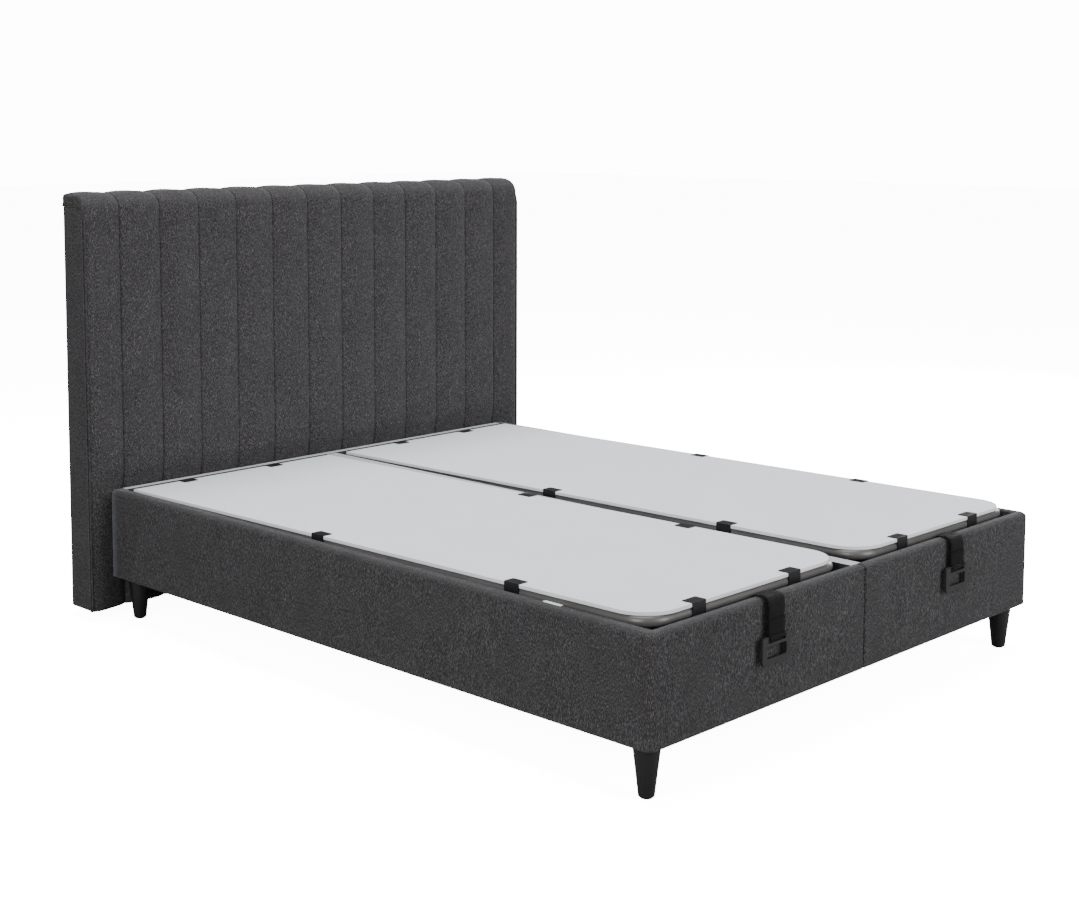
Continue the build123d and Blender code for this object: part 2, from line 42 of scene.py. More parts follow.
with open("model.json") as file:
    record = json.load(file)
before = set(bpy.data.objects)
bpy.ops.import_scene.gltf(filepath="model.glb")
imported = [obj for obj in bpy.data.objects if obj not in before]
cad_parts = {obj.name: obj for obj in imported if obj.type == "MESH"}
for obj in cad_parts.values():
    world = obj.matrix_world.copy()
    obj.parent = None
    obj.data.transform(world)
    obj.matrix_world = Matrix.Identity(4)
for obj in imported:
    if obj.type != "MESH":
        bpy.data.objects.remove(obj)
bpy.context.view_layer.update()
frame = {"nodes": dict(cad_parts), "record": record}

SIDES = {"left": -1, "right": 1}

# ---- places read from the CAD model --------------------------------------------------------------
rail_low, rail_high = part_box("side_cover_right")
foot_low, foot_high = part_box("foot_cover_right")
cushion_low, cushion_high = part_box("headboard_cushion")
side_low, side_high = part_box("headboard_side_right")
bed_half = rail_high.x
rail_thick = rail_high.x - rail_low.x
foot_y = foot_low.y
foot_thick = foot_high.y - foot_low.y
head_y = rail_high.y
rail_base = rail_low.z
rail_top = rail_high.z
seam_gap = foot_low.x * 0.1  # the padding closes most of the gap between the halves
board_half = cushion_high.x
board_back = cushion_high.y
board_base = cushion_low.z
board_top = cushion_high.z
side_seam = side_high.z


# ---- materials -----------------------------------------------------------------------------------
def new_material(name, color, roughness, metallic=0.0, specular=0.5):
    """A material with one Principled shader, and its node tree."""
    material = bpy.data.materials.new(name)
    material.use_nodes = True
    shader = material.node_tree.nodes["Principled BSDF"]
    shader.inputs["Base Color"].default_value = (*color, 1.0)
    shader.inputs["Roughness"].default_value = roughness
    shader.inputs["Metallic"].default_value = metallic
    shader.inputs["Specular IOR Level"].default_value = specular
    return material


def coordinates(material, scale):
    """Object coordinates stretched by a scale along each axis."""
    nodes = material.node_tree.nodes
    links = material.node_tree.links
    source = nodes.new("ShaderNodeTexCoord")
    mapping = nodes.new("ShaderNodeMapping")
    mapping.inputs["Scale"].default_value = scale
    links.new(source.outputs["Object"], mapping.inputs["Vector"])
    return mapping.outputs["Vector"]


def noise_value(material, stretch, scale, detail=2.0, rough=0.5):
    """A noise pattern in object space."""
    node = material.node_tree.nodes.new("ShaderNodeTexNoise")
    node.inputs["Scale"].default_value = scale
    node.inputs["Detail"].default_value = detail
    node.inputs["Roughness"].default_value = rough
    material.node_tree.links.new(coordinates(material, stretch), node.inputs["Vector"])
    return node.outputs["Fac"]


def wave_value(material, axis, period, distortion=0.0):
    """Parallel ridges across one axis, a period apart."""
    node = material.node_tree.nodes.new("ShaderNodeTexWave")
    node.wave_type = "BANDS"
    node.bands_direction = axis
    node.inputs["Scale"].default_value = math.pi / (10.0 * period)
    node.inputs["Distortion"].default_value = distortion
    material.node_tree.links.new(coordinates(material, (1.0, 1.0, 1.0)), node.inputs["Vector"])
    return node.outputs["Fac"]


def ramp(material, value, stops):
    """Colours along a value: stops are (place, colour)."""
    node = material.node_tree.nodes.new("ShaderNodeValToRGB")
    elements = node.color_ramp.elements
    while len(elements) < len(stops):
        elements.new(0.5)
    for element, (place, color) in zip(elements, stops):
        element.position = place
        element.color = (*color, 1.0)
    material.node_tree.links.new(value, node.inputs["Fac"])
    return node.outputs["Color"]


def mix_colors(material, how, amount, first, second):
    """Two colours mixed, by an amount that is a number or another value."""
    node = material.node_tree.nodes.new("ShaderNodeMix")
    node.data_type = "RGBA"
    node.blend_type = how
    links = material.node_tree.links
    if isinstance(amount, float):
        node.inputs["Factor"].default_value = amount
    else:
        links.new(amount, node.inputs["Factor"])
    links.new(first, node.inputs["A"])
    links.new(second, node.inputs["B"])
    return node.outputs["Result"]


def combine(material, how, first, second):
    """Two values put together by a sum, product or similar."""
    node = material.node_tree.nodes.new("ShaderNodeMath")
    node.operation = how
    for value, socket in zip((first, second), node.inputs):
        if isinstance(value, float):
            socket.default_value = value
        else:
            material.node_tree.links.new(value, socket)
    return node.outputs["Value"]


def spread(material, value, low, high):
    """A value between 0 and 1 moved to between low and high."""
    node = material.node_tree.nodes.new("ShaderNodeMapRange")
    node.inputs["To Min"].default_value = low
    node.inputs["To Max"].default_value = high
    material.node_tree.links.new(value, node.inputs["Value"])
    return node.outputs["Result"]


def set_input(material, socket, value):
    """Drives a shader input by a pattern."""
    shader = material.node_tree.nodes["Principled BSDF"]
    material.node_tree.links.new(value, shader.inputs[socket])


def add_bump(material, height, distance, strength=1.0):
    """Relief on the shader from a height pattern."""
    nodes = material.node_tree.nodes
    bump = nodes.new("ShaderNodeBump")
    bump.inputs["Distance"].default_value = distance
    bump.inputs["Strength"].default_value = strength
    material.node_tree.links.new(height, bump.inputs["Height"])
    material.node_tree.links.new(bump.outputs["Normal"], nodes["Principled BSDF"].inputs["Normal"])


weft_pitch = 0.0016
warp_pitch = 0.0019
dimple_pitch = 0.0035       # of the lining


def fabric(name, dark, light, warm):
    """Woven melange upholstery: dark ground, pale slubs that run up and down, and fuzz."""
    material = new_material(name, dark, 0.92, specular=0.12)
    shader = material.node_tree.nodes["Principled BSDF"]
    shader.inputs["Sheen Weight"].default_value = 0.12
    shader.inputs["Sheen Roughness"].default_value = 0.35
    shader.inputs["Sheen Tint"].default_value = (0.85, 0.92, 1.0, 1.0)
    slubs = noise_value(material, (1.0, 1.0, 0.20), 860.0, 2.0, 0.6)
    flecks = noise_value(material, (1.0, 1.0, 0.55), 1500.0, 1.0, 0.5)
    cloud = noise_value(material, (1.0, 1.0, 0.7), 14.0, 3.0, 0.6)
    both = combine(material, "ADD", combine(material, "MULTIPLY", slubs, 0.72),
                   combine(material, "MULTIPLY", flecks, 0.28))
    yarn = ramp(material, both, ((0.36, dark), (0.52, warm), (0.68, light)))
    shade = ramp(material, cloud, ((0.3, (0.86, 0.86, 0.86)), (0.7, (1.0, 1.0, 1.0))))
    set_input(material, "Base Color", mix_colors(material, "MULTIPLY", 1.0, yarn, shade))
    set_input(material, "Roughness", spread(material, flecks, 0.82, 1.0))
    rows = combine(material, "ADD", wave_value(material, "Z", weft_pitch, 1.5),
                   wave_value(material, "X", warp_pitch, 1.5))
    height = combine(material, "ADD", combine(material, "MULTIPLY", rows, 0.3), both)
    add_bump(material, height, 0.0005, 0.35)
    return material


def satin(name, color, roughness, grain_scale, grain_depth, metallic=0.0, specular=0.5):
    """Painted or moulded surface with a fine grain and slightly uneven gloss."""
    material = new_material(name, color, roughness, metallic, specular)
    grain = noise_value(material, (1.0, 1.0, 1.0), grain_scale, 3.0, 0.6)
    blotch = noise_value(material, (1.0, 1.0, 1.0), 9.0, 2.0, 0.5)
    tone = [tuple(channel * share for channel in color) for share in (0.90, 1.10)]
    set_input(material, "Base Color", ramp(material, blotch, ((0.3, tone[0]), (0.7, tone[1]))))
    set_input(material, "Roughness", spread(material, blotch, roughness * 0.85, roughness * 1.15))
    add_bump(material, grain, grain_depth, 0.6)
    return material


def wood(name, pale, dark, stretch, scale, roughness=0.6):
    """Bare timber or sheet wood, with grain along the axis that is least stretched."""
    material = new_material(name, pale, roughness, specular=0.3)
    rings = noise_value(material, stretch, scale, 4.0, 0.65)
    pores = noise_value(material, stretch, scale * 6.0, 2.0, 0.5)
    figure = ramp(material, rings, ((0.32, dark), (0.62, pale)))
    fine = ramp(material, pores, ((0.25, (0.84, 0.84, 0.84)), (0.6, (1.0, 1.0, 1.0))))
    set_input(material, "Base Color", mix_colors(material, "MULTIPLY", 0.8, figure, fine))
    set_input(material, "Roughness", spread(material, pores, roughness - 0.1, roughness + 0.15))
    add_bump(material, pores, 0.0003, 0.5)
    return material


def webbing_material(name, color, period):
    """Woven strap: close ribs across its run, with a fine twill on them."""
    material = new_material(name, color, 0.7, specular=0.15)
    ribs = combine(material, "ADD", wave_value(material, "Z", period),
                   wave_value(material, "X", period * 0.7))
    yarn = noise_value(material, (1.0, 1.0, 1.0), 700.0, 2.0, 0.5)
    tone = [tuple(channel * share for channel in color) for share in (0.6, 1.6)]
    set_input(material, "Base Color", ramp(material, yarn, ((0.3, tone[0]), (0.72, tone[1]))))
    set_input(material, "Roughness", spread(material, yarn, 0.6, 0.85))
    add_bump(material, ribs, 0.0004, 0.7)
    return material


def lining_material(name, color):
    """Thin bonded lining with small dimples in rows."""
    material = new_material(name, color, 0.85, specular=0.2)
    dimples = combine(material, "MULTIPLY", wave_value(material, "X", dimple_pitch),
                      wave_value(material, "Z", dimple_pitch))
    fibres = noise_value(material, (1.0, 1.0, 1.0), 260.0, 4.0, 0.7)
    tone = [tuple(channel * share for channel in color) for share in (0.65, 1.5)]
    set_input(material, "Base Color", ramp(material, fibres, ((0.3, tone[0]), (0.7, tone[1]))))
    set_input(material, "Roughness", spread(material, fibres, 0.75, 0.95))
    add_bump(material, combine(material, "ADD", dimples, fibres), 0.0005, 0.6)
    return material


def board_with_painted_shade(name, edge, face):
    """Laminated light grey board: faces that look up keep its pale colour, and its sides get a dark
    colour that is painted shade.
    """
    material = new_material(name, face, 0.55, specular=0.3)
    nodes = material.node_tree.nodes
    links = material.node_tree.links
    normal = nodes.new("ShaderNodeSeparateXYZ")
    links.new(nodes.new("ShaderNodeNewGeometry").outputs["Normal"], normal.inputs["Vector"])
    speckle = noise_value(material, (1.0, 0.4, 1.0), 500.0, 2.0, 0.5)
    # Faces that look up get the pale board colour; the sides get the darker colour, which is painted
    # shade.
    upward = ramp(material, normal.outputs["Z"], ((0.6, (0.0, 0.0, 0.0)), (0.8, (1.0, 1.0, 1.0))))
    pale = ramp(material, speckle, ((0.3, tuple(c * 0.88 for c in edge)), (0.7, edge)))
    dark = ramp(material, speckle, ((0.3, tuple(c * 0.7 for c in face)), (0.7, face)))
    set_input(material, "Base Color", mix_colors(material, "MIX", upward, dark, pale))
    set_input(material, "Roughness", spread(material, speckle, 0.5, 0.65))
    add_bump(material, speckle, 0.0001, 0.4)
    return material


def panel_material(name, color):
    """Matt light grey board with a very fine felt-like surface."""
    material = new_material(name, color, 0.62, specular=0.35)
    fibres = noise_value(material, (1.0, 0.35, 1.0), 900.0, 3.0, 0.6)
    cloud = noise_value(material, (1.0, 1.0, 1.0), 5.0, 3.0, 0.5)
    fine = ramp(material, fibres, ((0.3, (0.95, 0.95, 0.95)), (0.7, (1.0, 1.0, 1.0))))
    broad = ramp(material, cloud, ((0.3, tuple(c * 0.97 for c in color)), (0.7, color)))
    set_input(material, "Base Color", mix_colors(material, "MULTIPLY", 1.0, broad, fine))
    set_input(material, "Roughness", spread(material, fibres, 0.55, 0.72))
    add_bump(material, fibres, 0.00015, 0.5)
    return material


MATERIALS = {
    "upholstery": fabric("upholstery", (0.012, 0.0115, 0.0125), (0.150, 0.145, 0.148),
                         (0.036, 0.034, 0.036)),
    # Pale board colour, with its sides darkened by painted shade.
    "board_light": board_with_painted_shade("board_light", (0.44, 0.46, 0.47), (0.045, 0.047, 0.048)),
    "plywood": wood("plywood", (0.60, 0.45, 0.28), (0.44, 0.30, 0.17), (1.0, 0.12, 1.0), 34.0),
    "softwood": wood("softwood", (0.66, 0.50, 0.31), (0.50, 0.34, 0.18), (1.0, 0.15, 1.0), 40.0),
    "hardboard": wood("hardboard", (0.27, 0.18, 0.11), (0.20, 0.13, 0.08), (1.0, 1.0, 1.0), 240.0, 0.5),
    "panel": panel_material("panel", (0.70, 0.71, 0.755)),
    "steel_grey": satin("steel_grey", (0.105, 0.103, 0.10), 0.38, 900.0, 0.0001, 0.2, 0.4),
    "steel_black": satin("steel_black", (0.009, 0.009, 0.0095), 0.40, 1100.0, 0.0001, 0.0, 0.25),
    "steel_zinc": satin("steel_zinc", (0.45, 0.46, 0.48), 0.32, 700.0, 0.00008, 1.0),
    "leg_black": satin("leg_black", (0.008, 0.008, 0.0085), 0.45, 500.0, 0.0002, 0.0, 0.3),
    "felt": lining_material("felt", (0.03, 0.03, 0.03)),
    "pad_white": satin("pad_white", (0.66, 0.74, 0.70), 0.45, 400.0, 0.0001),
    "nylon_black": satin("nylon_black", (0.02, 0.02, 0.021), 0.5, 800.0, 0.0001),
    "webbing": webbing_material("webbing", (0.003, 0.003, 0.0031), 0.0022),
    "handle": satin("handle", (0.0125, 0.0125, 0.0120), 0.52, 1300.0, 0.00015, 0.0, 0.3),
    "back_cloth": lining_material("back_cloth", (0.022, 0.022, 0.024)),
}


def paint(piece, slot):
    """Gives a piece the material of the record's slot."""
    piece.data.materials.clear()
    piece.data.materials.append(MATERIALS[slot])


for part in frame["record"]["subparts"]:
    carried = frame["nodes"][part["node"]]
    for place in carried.material_slots:
        place.material = MATERIALS[part["material_slot"]]


# ---- mesh helpers --------------------------------------------------------------------------------
def mesh_piece(name, points, faces, smooth=True):
    """A mesh object from points and faces."""
    mesh = bpy.data.meshes.new(name)
    mesh.from_pydata([tuple(p) for p in points], [], faces)
    mesh.update()
    for polygon in mesh.polygons:
        polygon.use_smooth = smooth
    piece = bpy.data.objects.new(name, mesh)
    bpy.context.scene.collection.objects.link(piece)
    return piece


def face_outward(piece):
    """Turns every face of a closed piece to look outward."""
    shape = bmesh.new()
    shape.from_mesh(piece.data)
    bmesh.ops.recalc_face_normals(shape, faces=shape.faces)
    shape.to_mesh(piece.data)
    shape.free()


def apply_modifiers(piece):
    """Bakes a piece's modifiers into its mesh."""
    graph = bpy.context.evaluated_depsgraph_get()
    baked = bpy.data.meshes.new_from_object(piece.evaluated_get(graph))
    piece.modifiers.clear()
    piece.data = baked


def loft(name, rings, closed_ring=True, capped=True):
    """A skin over rings of points that follow each other."""
    count = len(rings[0])
    points = [p for ring in rings for p in ring]
    faces = []
    across = count if closed_ring else count - 1
    for i in range(len(rings) - 1):
        for j in range(across):
            k = (j + 1) % count
            faces.append((i * count + j, i * count + k, (i + 1) * count + k, (i + 1) * count + j))
    if capped:
        faces.append(tuple(range(count)))
        faces.append(tuple(range((len(rings) - 1) * count, len(rings) * count)))
    piece = mesh_piece(name, points, faces)
    face_outward(piece)
    return piece


def ripple(point, size, depth):
    """A small even waviness at a point, the same each time."""
    return noise.noise(Vector(point) / size) * depth


# ---- rail upholstery: one cover for each half, round its outer corner ----------------------------
edge_round = 0.013
corner_round = 0.022
end_round = 0.009
under_round = 0.004


def rail_profile(thick):
    """Cross-section of a padded rail: (distance in from the outer face, height)."""
    profile = []
    for k in range(5):
        a = math.radians(90 * k / 4)
        profile.append((under_round * (1 - math.sin(a)), rail_base + under_round * (1 - math.cos(a))))
    levels = 9
    low, high = rail_base + 0.012, rail_top - edge_round
    for k in range(levels):
        profile.append((0.0, low + (high - low) * k / (levels - 1)))
    for k in range(1, 7):
        a = math.radians(90 * k / 6)
        profile.append((edge_round * (1 - math.cos(a)), rail_top - edge_round * (1 - math.sin(a))))
    inner_round = 0.004
    for k in range(5):
        a = math.radians(90 * k / 4)
        profile.append((thick - inner_round * (1 - math.sin(a)),
                        rail_top - inner_round * (1 - math.cos(a))))
    profile.append((thick, rail_top - 0.05))
    profile.append((thick, rail_base))
    return profile


def cover_station(outer, inner, thick, shrink):
    """One ring of the cover between an outer and an inner point; shrink pulls the skin in at an end."""
    ring = []
    for depth, height in rail_profile(thick):
        share = min(max(depth, shrink), thick - min(shrink, 0.002)) / thick
        x = outer[0] + (inner[0] - outer[0]) * share
        y = outer[1] + (inner[1] - outer[1]) * share
        z = min(max(height, rail_base + shrink * 0.3), rail_top - shrink)
        wave = ripple((x, y, z), 0.16, 0.0009) + ripple((x, y, z), 0.045, 0.0003)
        if depth < thick * 0.5 and rail_base + 0.01 < height and shrink == 0.0:
            x += (inner[0] - outer[0]) / thick * (0.0008 - wave)
            y += (inner[1] - outer[1]) / thick * (0.0008 - wave)
        ring.append((x, y, z))
    return ring


for side, s in SIDES.items():
    rings = []
    along = 44
    corner_y = foot_y + corner_round
    for k in range(along + 1):
        y = head_y + (corner_y + 0.02 - head_y) * k / along
        inner = (s * (bed_half - rail_thick), max(y, foot_y + foot_thick))
        rings.append(cover_station((s * bed_half, y), inner, rail_thick, 0.0))
    inner_corner = (s * (bed_half - rail_thick), foot_y + foot_thick)
    for k in range(9):
        a = math.radians(90 * k / 8)
        outer = (s * (bed_half - corner_round * (1 - math.cos(a))),
                 corner_y - corner_round * math.sin(a))
        thick = rail_thick + (foot_thick - rail_thick) * k / 8
        rings.append(cover_station(outer, inner_corner, thick, 0.0))
    start = bed_half - rail_thick
    stop = seam_gap + end_round
    for k in range(21):
        x = s * (start + (stop - start) * k / 20)
        rings.append(cover_station((x, foot_y), (x, foot_y + foot_thick), foot_thick, 0.0))
    for k in range(1, 7):
        a = math.radians(90 * k / 6)
        x = s * (stop - end_round * math.sin(a))
        rings.append(cover_station((x, foot_y), (x, foot_y + foot_thick), foot_thick,
                                   end_round * (1 - math.cos(a))))
    cover = loft(f"rail_cover_{side}", rings)
    paint(cover, "upholstery")
    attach(cover, "base")
    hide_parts(f"side_cover_{side}", f"foot_cover_{side}")

# ---- headboard cushion: channels that run up the front and over the top --------------------------
channel = 0.1376
channel_centre = 0.005
seams = [channel_centre + channel * (k - 5.5) for k in range(12)]
stand_out = 0.009           # how far the pillows stand in front of the rails' ends
groove = 0.0165
swell = 0.0135
end_width = 0.040
end_depth = 0.014
crease = 0.0035
crease_width = 0.02
back_overlap = 0.003
back_flat = 0.9             # how much of the relief is lost on the back face
roll = 0.055
back_roll = 0.016
front_y = cushion_low.y
side_radius = 0.045
tuck = 0.005

path = []
for k in range(47):
    path.append((front_y, board_base + (board_top - roll - board_base) * k / 46, -1.0, 0.0))
for k in range(1, 13):
    a = math.radians(90 * k / 12)
    path.append((front_y + roll * (1 - math.cos(a)), board_top - roll * (1 - math.sin(a)),
                 -math.cos(a), math.sin(a)))
for k in range(1, 3):
    flat = board_back - back_roll - front_y - roll
    path.append((front_y + roll + flat * k / 2, board_top, 0.0, 1.0))
for k in range(1, 6):
    a = math.radians(90 * k / 5)
    path.append((board_back - back_roll * (1 - math.sin(a)), board_top - back_roll * (1 - math.cos(a)),
                 math.sin(a), math.cos(a)))
path.append((board_back, side_seam - back_overlap, 1.0, 0.0))


def outline_point(y, z):
    """Nearest place on the side panel's front and top outline to a point of the cushion's path."""
    centre_y = side_low.y + side_radius
    centre_z = side_seam - side_radius
    if z < centre_z:
        return side_low.y, z
    if y > centre_y:
        return y, side_seam
    a = math.atan2(z - centre_z, centre_y - y)
    return centre_y - side_radius * math.cos(a), centre_z + side_radius * math.sin(a)


columns = []                # (x, share of the way across its strip from -1 to 1)
edges = [-board_half, *seams, board_half]
for first, last in zip(edges, edges[1:]):
    fine = (-1.0, -0.975, -0.93, -0.84, -0.66, -0.4, 0.0, 0.4, 0.66, 0.84, 0.93, 0.975)
    for t in fine:
        columns.append(((first + last) / 2 + t * (last - first) / 2, t, first, last))
columns.append((board_half, 1.0, edges[-2], board_half))


def strip_height(x, t, first, last, behind):
    """How far a strip's skin lies inside the path before it is blown up; behind is 1 on the back."""
    height = groove * (1 - swell / groove * (1 - abs(t) ** 3))
    if abs(t) > 1 - crease_width:
        height += crease
    height *= 1 - back_flat * behind
    if first < -board_half + 1e-6 and t < 0:
        height = groove * (1 - swell / groove)
    if last > board_half - 1e-6 and t > 0:
        height = groove * (1 - swell / groove)
    reach = abs(x) - (board_half - end_width)
    if reach > 0:
        fall = 1 - math.sqrt(max(0.0, 1 - (reach / end_width) ** 2))
        height += end_depth * (1 - 0.9 * behind) * fall
    return height


def forward(x, z):
    """How far the cushion stands out in front of the rails' ends, where they don't press on it."""
    beside = min(max((abs(x) - bed_half - 0.004) / 0.018, 0.0), 1.0)
    above = min(max((z - rail_top - 0.006) / 0.05, 0.0), 1.0)
    free = max(beside, above)
    return stand_out * free * free * (3 - 2 * free)


def build_cushion():
    """The whole channelled skin as a grid: rows follow the path, columns run across the bed."""
    grid = []
    fixed = []
    side_steps = 5
    for y, z, ny, nz in path:
        row = []
        held = []
        for x, t, first, last in columns:
            inward = strip_height(x, t, first, last, max(0.0, ny)) - forward(x, z) * max(0.0, -ny)
            row.append((x, y - ny * inward, z - nz * inward))
            held.append(abs(t) > 0.999 or abs(x) > board_half - 0.002)
        left = []
        for k in range(1, side_steps + 1):
            share = k / side_steps
            start = row[0]
            goal = outline_point(min(y, start[1]) if ny > 0 else y, z)
            depth = tuck if k == side_steps else 0.0
            left.append((-board_half + depth, start[1] + (goal[0] - start[1]) * share,
                         start[2] + (goal[1] - start[2]) * share))
        right = [(-px, py, pz) for px, py, pz in left]
        grid.append(left[::-1] + row + right)
        fixed.append([True] * side_steps + held + [True] * side_steps)
    return grid, fixed


grid, fixed = build_cushion()
width = len(grid[0])
points = [p for row in grid for p in row]
faces = []
for i in range(len(grid) - 1):
    for j in range(width - 1):
        faces.append((i * width + j, i * width + j + 1, (i + 1) * width + j + 1, (i + 1) * width + j))
cushion = mesh_piece("headboard_cushion_cover", points, faces)


def blow_up(piece, held, pressure, limit):
    """Inflates a skin between its held points, moving no point further than the limit."""
    rest = [v.co.copy() for v in piece.data.vertices]
    group = piece.vertex_groups.new(name="held")
    group.add([k for k, h in enumerate(held) if h], 1.0, "REPLACE")
    sim = piece.modifiers.new("cloth", "CLOTH")
    settings = sim.settings
    settings.quality = 6
    settings.mass = 0.3
    settings.tension_stiffness = 25.0
    settings.compression_stiffness = 25.0
    settings.shear_stiffness = 10.0
    settings.bending_stiffness = 1.5
    settings.shrink_min = -0.02
    settings.vertex_group_mass = "held"
    settings.use_pressure = True
    settings.uniform_pressure_force = pressure
    settings.effector_weights.gravity = 0.0
    sim.collision_settings.use_self_collision = False
    scene = bpy.context.scene
    for k in range(1, 21):
        scene.frame_set(k)
    apply_modifiers(piece)
    scene.frame_set(1)
    piece.vertex_groups.clear()
    for vertex, start in zip(piece.data.vertices, rest):
        move = vertex.co - start
        if move.length > limit:
            vertex.co = start + move * (limit / move.length)


blow_up(cushion, [h for row in fixed for h in row], 4.0, 0.006)

shell = cushion.modifiers.new("shell", "SOLIDIFY")
shell.thickness = 0.006
shell.offset = -1.0
apply_modifiers(cushion)
smooth = cushion.modifiers.new("smooth", "SUBSURF")
smooth.levels = 1
apply_modifiers(cushion)
for vertex in cushion.data.vertices:
    vertex.co.x = min(max(vertex.co.x, -board_half), board_half)
    vertex.co.y = min(vertex.co.y, board_back)
for polygon in cushion.data.polygons:
    polygon.use_smooth = True
paint(cushion, "upholstery")
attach(cushion, "base")
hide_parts("headboard_cushion")


# ---- padded side panels of the headboard ---------------------------------------------------------
def side_outline(inset):
    """Outline of a side panel, pulled in by an inset, as (y, z) points."""
    low_y, high_y = side_low.y + inset, side_high.y - inset
    low_z, high_z = side_low.z + inset, side_seam - inset
    small = max(0.006 - inset, 0.001)
    large = side_radius - inset
    corners = (
        (high_y - small, low_z + small, small, -90.0),
        (high_y - small, high_z - small, small, 0.0),
        (low_y + large, high_z - large, large, 90.0),
        (low_y + small, low_z + small, small, 180.0),
    )
    outline = []
    for y, z, radius, start in corners:
        for k in range(9):
            a = math.radians(start + 90.0 * k / 8)
            outline.append((y + radius * math.cos(a), z + radius * math.sin(a)))
    return outline


side_steps = ((0.0006, 0.0), (0.0006, 0.0045), (0.0012, 0.0070), (0.0025, 0.0088), (0.0045, 0.0100),
              (0.0080, 0.0108), (0.0140, 0.0113), (0.0240, 0.0116))
for side, s in SIDES.items():
    rings = []
    for inset, rise in side_steps:
        x = s * (side_low.x + rise)
        rings.append([(x, y, z) for y, z in side_outline(inset)])
    panel = loft(f"headboard_side_cover_{side}", rings)
    paint(panel, "upholstery")
    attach(panel, "base")
    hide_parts(f"headboard_side_{side}")

# ---- back of the headboard: upholstery turned over the edges, a lining stapled inside it ---------
turned = 0.045              # width of upholstery folded to the back
hem = 0.010
back_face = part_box("headboard_back")[1].y
back_thick = 0.0008
lining_lift = 0.0010        # the lining's face in front of the turned edge


def back_ring(name, slot, outer, inner, lift, thick):
    """A flat frame on the headboard's back between two rectangles: (half width, low z, high z)."""
    points = []
    for y in (back_face + lift, back_face + lift + thick):
        for half, low, high in (outer, inner):
            points += [(-half, y, low), (half, y, low), (half, y, high), (-half, y, high)]
    faces = []
    for k in range(4):
        m = (k + 1) % 4
        faces += [(k, m, m + 4, k + 4), (k + 8, m + 8, m + 12, k + 12), (k, m, m + 8, k + 8),
                  (k + 4, m + 4, m + 12, k + 12)]
    piece = mesh_piece(name, points, faces, False)
    face_outward(piece)
    paint(piece, slot)
    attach(piece, "base")
    return piece


back_outer = (board_half - 0.0123, side_low.z + 0.001, side_seam - 0.0005)
back_inner = (back_outer[0] - turned, back_outer[1] + turned, back_outer[2] - turned)
lining_outer = (back_inner[0] + 0.02, back_inner[1] - 0.02, back_inner[2] + 0.02)
lining_hem = (lining_outer[0] - hem, lining_outer[1] + hem, lining_outer[2] - hem)
lining_middle = (lining_hem[1] + lining_hem[2]) / 2
lining_core = (0.001, lining_middle - 0.001, lining_middle + 0.001)
back_ring("headboard_turned_edge", "upholstery", back_outer, back_inner, 0.0001, back_thick)
back_ring("headboard_lining", "back_cloth", lining_hem, lining_core, lining_lift, back_thick)
back_ring("headboard_lining_hem", "back_cloth", lining_outer, lining_hem, lining_lift, 2 * back_thick)

staple_pitch = 0.06
staple_length = 0.010
staple_wire = 0.0011
staples = bmesh.new()
across = int(2 * lining_hem[0] / staple_pitch)
upward = int((lining_hem[2] - lining_hem[1]) / staple_pitch)
places = [(-lining_hem[0] + staple_pitch * (k + 0.5), z, True) for k in range(across)
          for z in (lining_hem[1] - hem / 2, lining_hem[2] + hem / 2)]
places += [(x, lining_hem[1] + staple_pitch * (k + 0.5), False) for k in range(upward)
           for x in (-lining_hem[0] - hem / 2, lining_hem[0] + hem / 2)]
for x, z, level in places:
    made = bmesh.ops.create_cube(staples, size=1.0)["verts"]
    size = (staple_length, staple_wire, staple_wire)
    if not level:
        size = size[::-1]
    bmesh.ops.scale(staples, vec=size, verts=made)
    staple_y = back_face + lining_lift + 2 * back_thick + staple_wire * 0.3
    bmesh.ops.translate(staples, vec=(x, staple_y, z), verts=made)
staple_mesh = bpy.data.meshes.new("headboard_staples")
staples.to_mesh(staple_mesh)
staples.free()
staple_piece = bpy.data.objects.new("headboard_staples", staple_mesh)
bpy.context.scene.collection.objects.link(staple_piece)
paint(staple_piece, "steel_zinc")
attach(staple_piece, "base")

# ---- pull straps ---------------------------------------------------------------------------------
strap_half = 0.030
strap_thick = 0.0022


def strap_line(side):
    """Middle of the strap as (y, z) points, from under the tube to its sewn end below the rail."""
    wrap_low, wrap_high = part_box(f"pull_strap_{side}")
    drop_low, drop_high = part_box(f"strap_drop_{side}")
    hang = (drop_low.y + drop_high.y) / 2
    loop = (drop_high.y - drop_low.y) / 2 - strap_thick / 2
    bar = drop_low.z + loop + strap_thick / 2
    tube_y = wrap_high.y - 0.0155
    points = [
        (wrap_high.y - 0.002, wrap_low.z + 0.014),
        (tube_y, wrap_low.z + 0.003),
        (tube_y - 0.014, wrap_low.z + 0.009),
        (foot_y + foot_thick + 0.001, rail_top + 0.001),
        (foot_y + foot_thick * 0.55, rail_top + 0.0035),
        (foot_y + 0.004, rail_top + 0.0040),
        (foot_y - 0.006, rail_top + 0.0005),
        (hang - 0.0005, rail_top - 0.014),
        (hang, rail_top - 0.040),
        (hang, (rail_top + bar) / 2),
        (hang, bar + loop + 0.006),
    ]
    return points, hang, bar, loop


def ribbon(name, line, x):
    """A flat strap of even thickness along a (y, z) line."""
    rings = []
    edge = 0.985                # share of the half width where the corner starts
    for k, (y, z) in enumerate(line):
        before = line[max(k - 1, 0)]
        after = line[min(k + 1, len(line) - 1)]
        run = Vector((after[0] - before[0], after[1] - before[1])).normalized()
        ny, nz = -run.y * strap_thick / 2, run.x * strap_thick / 2
        ring = []
        for u, v in ((-1, -0.5), (-1, 0.5), (-edge, 1), (-0.5, 1), (0, 1), (0.5, 1), (edge, 1),
                     (1, 0.5), (1, -0.5), (edge, -1), (0.5, -1), (0, -1), (-0.5, -1), (-edge, -1)):
            ring.append((x + u * strap_half, y + ny * v, z + nz * v))
        rings.append(ring)
    return loft(name, rings)


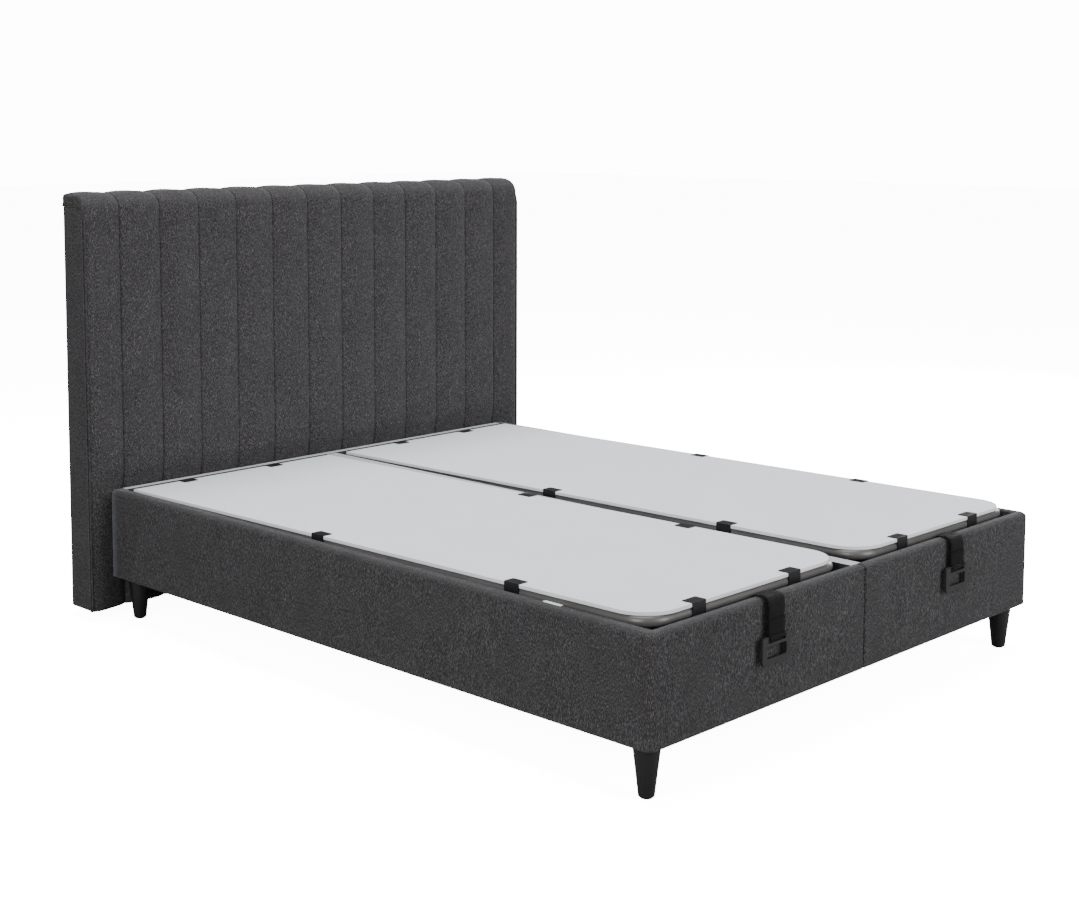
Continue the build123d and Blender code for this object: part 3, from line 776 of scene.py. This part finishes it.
def smooth_line(points, steps):
    """Points along a Catmull-Rom curve through the given points."""
    line = []
    padded = [points[0], *points, points[-1]]
    for k in range(1, len(padded) - 2):
        p0, p1, p2, p3 = (Vector(padded[k + d]) for d in (-1, 0, 1, 2))
        for j in range(steps):
            t = j / steps
            q = 0.5 * (2 * p1 + (p2 - p0) * t + (2 * p0 - 5 * p1 + 4 * p2 - p3) * t * t
                       + (3 * p1 - p0 - 3 * p2 + p3) * t ** 3)
            line.append(tuple(q))
    line.append(tuple(points[-1]))
    return line


for side, s in SIDES.items():
    low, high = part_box(f"pull_strap_{side}")
    x = (low.x + high.x) / 2
    points, hang, bar, loop = strap_line(side)
    strap = ribbon(f"strap_{side}", smooth_line(points, 6), x)
    end = [(hang - 0.0024, bar + 0.040)]
    for k in range(25):
        a = math.radians(100 + 340 * k / 24)
        end.append((hang + loop * math.cos(a), bar + loop * math.sin(a)))
    end.append((hang, bar + loop + 0.007))
    strap_end = ribbon(f"strap_loop_{side}", end, x)
    for piece in (strap, strap_end):
        paint(piece, "webbing")
    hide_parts(f"pull_strap_{side}")
    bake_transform(strap)
    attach(strap_end, f"strap_end_{side}")
    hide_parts(f"strap_drop_{side}")

# ---- floor, light and camera ---------------------------------------------------------------------
reach = 30.0                # half the floor's side
floor = mesh_piece("floor", [(-reach, -reach, 0), (reach, -reach, 0), (reach, reach, 0),
                             (-reach, reach, 0)], [(0, 1, 2, 3)], False)
floor_paint = bpy.data.materials.new("floor")
floor_paint.use_nodes = True
nodes = floor_paint.node_tree.nodes
links = floor_paint.node_tree.links
nodes.clear()
seen = nodes.new("ShaderNodeLightPath")
pale = nodes.new("ShaderNodeBsdfDiffuse")
pale.inputs["Color"].default_value = (4.5, 4.5, 4.5, 1.0)
glow = nodes.new("ShaderNodeEmission")
glow.inputs["Strength"].default_value = 11.5
bright = nodes.new("ShaderNodeAddShader")
links.new(pale.outputs["BSDF"], bright.inputs[0])
links.new(glow.outputs["Emission"], bright.inputs[1])
bounce = nodes.new("ShaderNodeBsdfDiffuse")
bounce.inputs["Color"].default_value = (0.4, 0.4, 0.4, 1.0)
choice = nodes.new("ShaderNodeMixShader")
links.new(seen.outputs["Is Camera Ray"], choice.inputs["Fac"])
links.new(bounce.outputs["BSDF"], choice.inputs[1])
links.new(bright.outputs["Shader"], choice.inputs[2])
links.new(choice.outputs["Shader"], nodes.new("ShaderNodeOutputMaterial").inputs["Surface"])
floor.data.materials.append(floor_paint)

world = bpy.data.worlds.new("studio")
world.use_nodes = True
nodes = world.node_tree.nodes
links = world.node_tree.links
backdrop = nodes["Background"]
backdrop.inputs["Color"].default_value = (1.0, 1.0, 1.0, 1.0)
level = nodes.new("ShaderNodeMapRange")
level.inputs["To Min"].default_value = 0.18
level.inputs["To Max"].default_value = 14.0
links.new(nodes.new("ShaderNodeLightPath").outputs["Is Camera Ray"], level.inputs["Value"])
links.new(level.outputs["Result"], backdrop.inputs["Strength"])
bpy.context.scene.world = world


def softbox(name, place, target, size, power):
    """A square area light that looks at a point."""
    data = bpy.data.lights.new(name, "AREA")
    data.size = size
    data.energy = power
    lamp = bpy.data.objects.new(name, data)
    lamp.location = place
    lamp.rotation_euler = (Vector(target) - Vector(place)).to_track_quat("-Z", "Y").to_euler()
    bpy.context.scene.collection.objects.link(lamp)


softbox("overhead", (0.0, 0.7, 4.6), (0.0, 0.2, 0.3), 3.6, 315.0)
softbox("left", (-5.0, -1.2, 2.2), (-0.8, 0.0, 0.4), 2.6, 215.0)
softbox("right", (5.2, 0.0, 1.8), (0.0, 0.95, 0.8), 2.0, 150.0)
softbox("foot", (0.8, -4.2, 1.6), (0.0, -1.0, 0.25), 2.2, 140.0)

camera_data = bpy.data.cameras.new("camera")
camera_data.sensor_width = 36.0
camera_data.lens = 58.04
camera_data.shift_x = 0.0450
camera_data.shift_y = -0.165
camera_data.clip_end = 100.0
camera = bpy.data.objects.new("camera", camera_data)
camera.location = (-3.512, -3.280, 1.4363)
camera.rotation_euler = (math.radians(90 - 5.459), 0.0, -0.78785)
bpy.context.scene.collection.objects.link(camera)
bpy.context.scene.camera = camera

bpy.context.view_layer.update()
